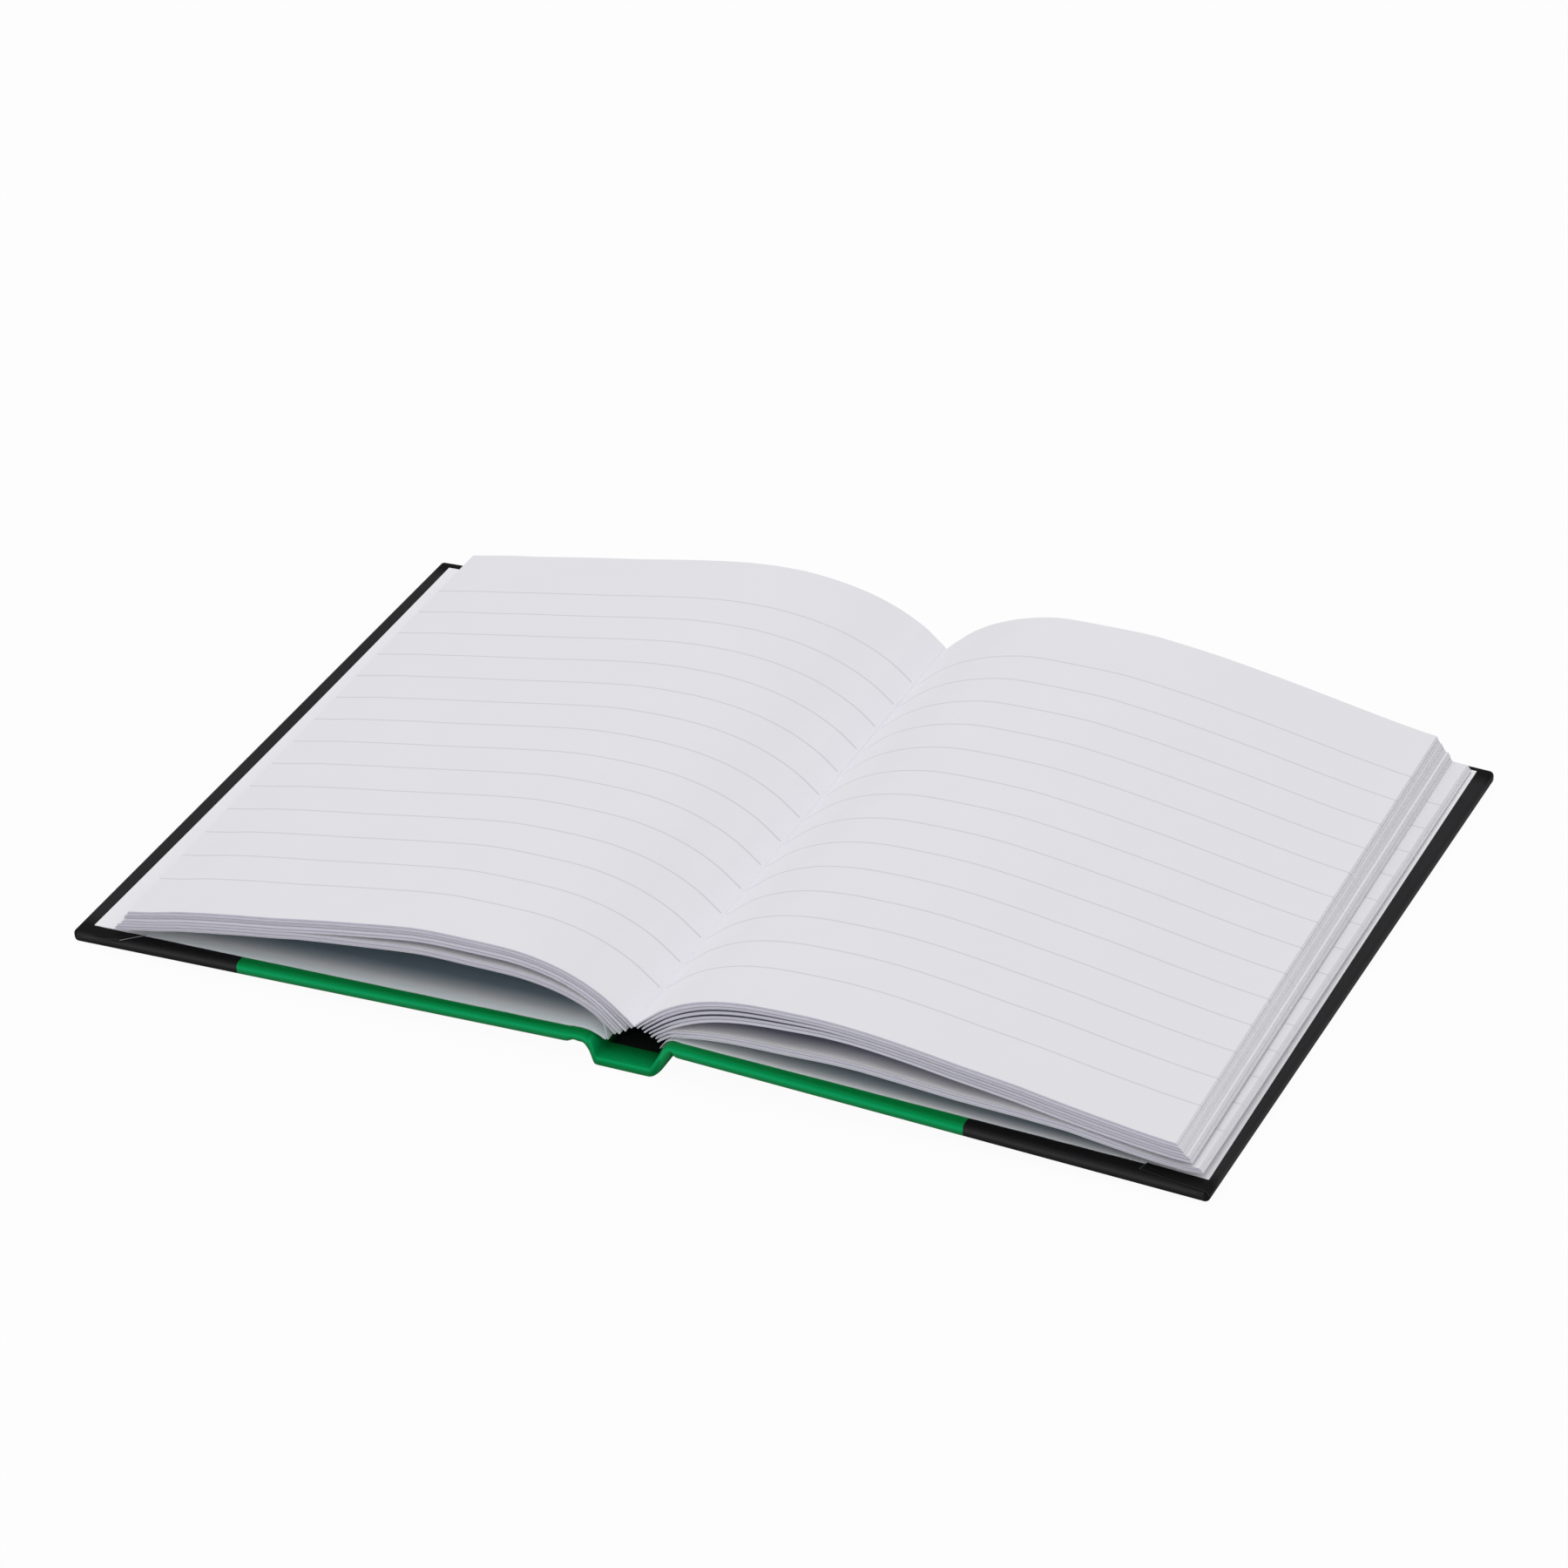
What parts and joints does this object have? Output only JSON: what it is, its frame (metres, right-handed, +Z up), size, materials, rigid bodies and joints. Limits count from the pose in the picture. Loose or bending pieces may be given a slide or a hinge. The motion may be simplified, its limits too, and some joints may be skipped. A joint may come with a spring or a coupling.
{
  "type": "open composition notebook",
  "caption": "Hardcover ruled notebook lying open: a sewn block of leaves with air between its packs, hung by its endpapers in a printed case with a trough-shaped spine and two hinged covers.",
  "frame": {"origin": "middle of the outer face of the spine, on the surface that the open book rests on", "axes": "+X across the spread towards the back cover, +Y from the tail of the page to its head, +Z up"},
  "size_m": [0.2298, 0.145, 0.0197],
  "materials": {
    "leaves": "uncoated, faintly ruled",
    "endpaper": "uncoated, plain",
    "lining": "matt",
    "grey_board": "matt",
    "green_print": "printed and gloss laminated",
    "cover_print": "printed black with a green field by the spine, gloss laminated"
  },
  "bodies": {
    "block": {"text_block": "leaves", "front_flyleaf": "endpaper", "back_flyleaf": "endpaper", "spine_lining": "lining", "spine_strip": "grey_board", "spine_wrap": "green_print"},
    "front_cover": {"front_board": "grey_board", "front_wrap": "cover_print", "front_pastedown": "endpaper"},
    "back_cover": {"back_board": "grey_board", "back_wrap": "cover_print", "back_pastedown": "endpaper"}
  },
  "joints": [
    {"name": "front_cover_hinge", "type": "hinge", "parent": "block", "child": "front_cover", "pos_m": [-0.00885, 0, 0.003], "axis": [0, -1, 0], "range_deg": [0, 90]},
    {"name": "back_cover_hinge", "type": "hinge", "parent": "block", "child": "back_cover", "pos_m": [0.00965, 0, 0.0048], "axis": [0, 1, 0], "range_deg": [0, 90]}
  ]
}
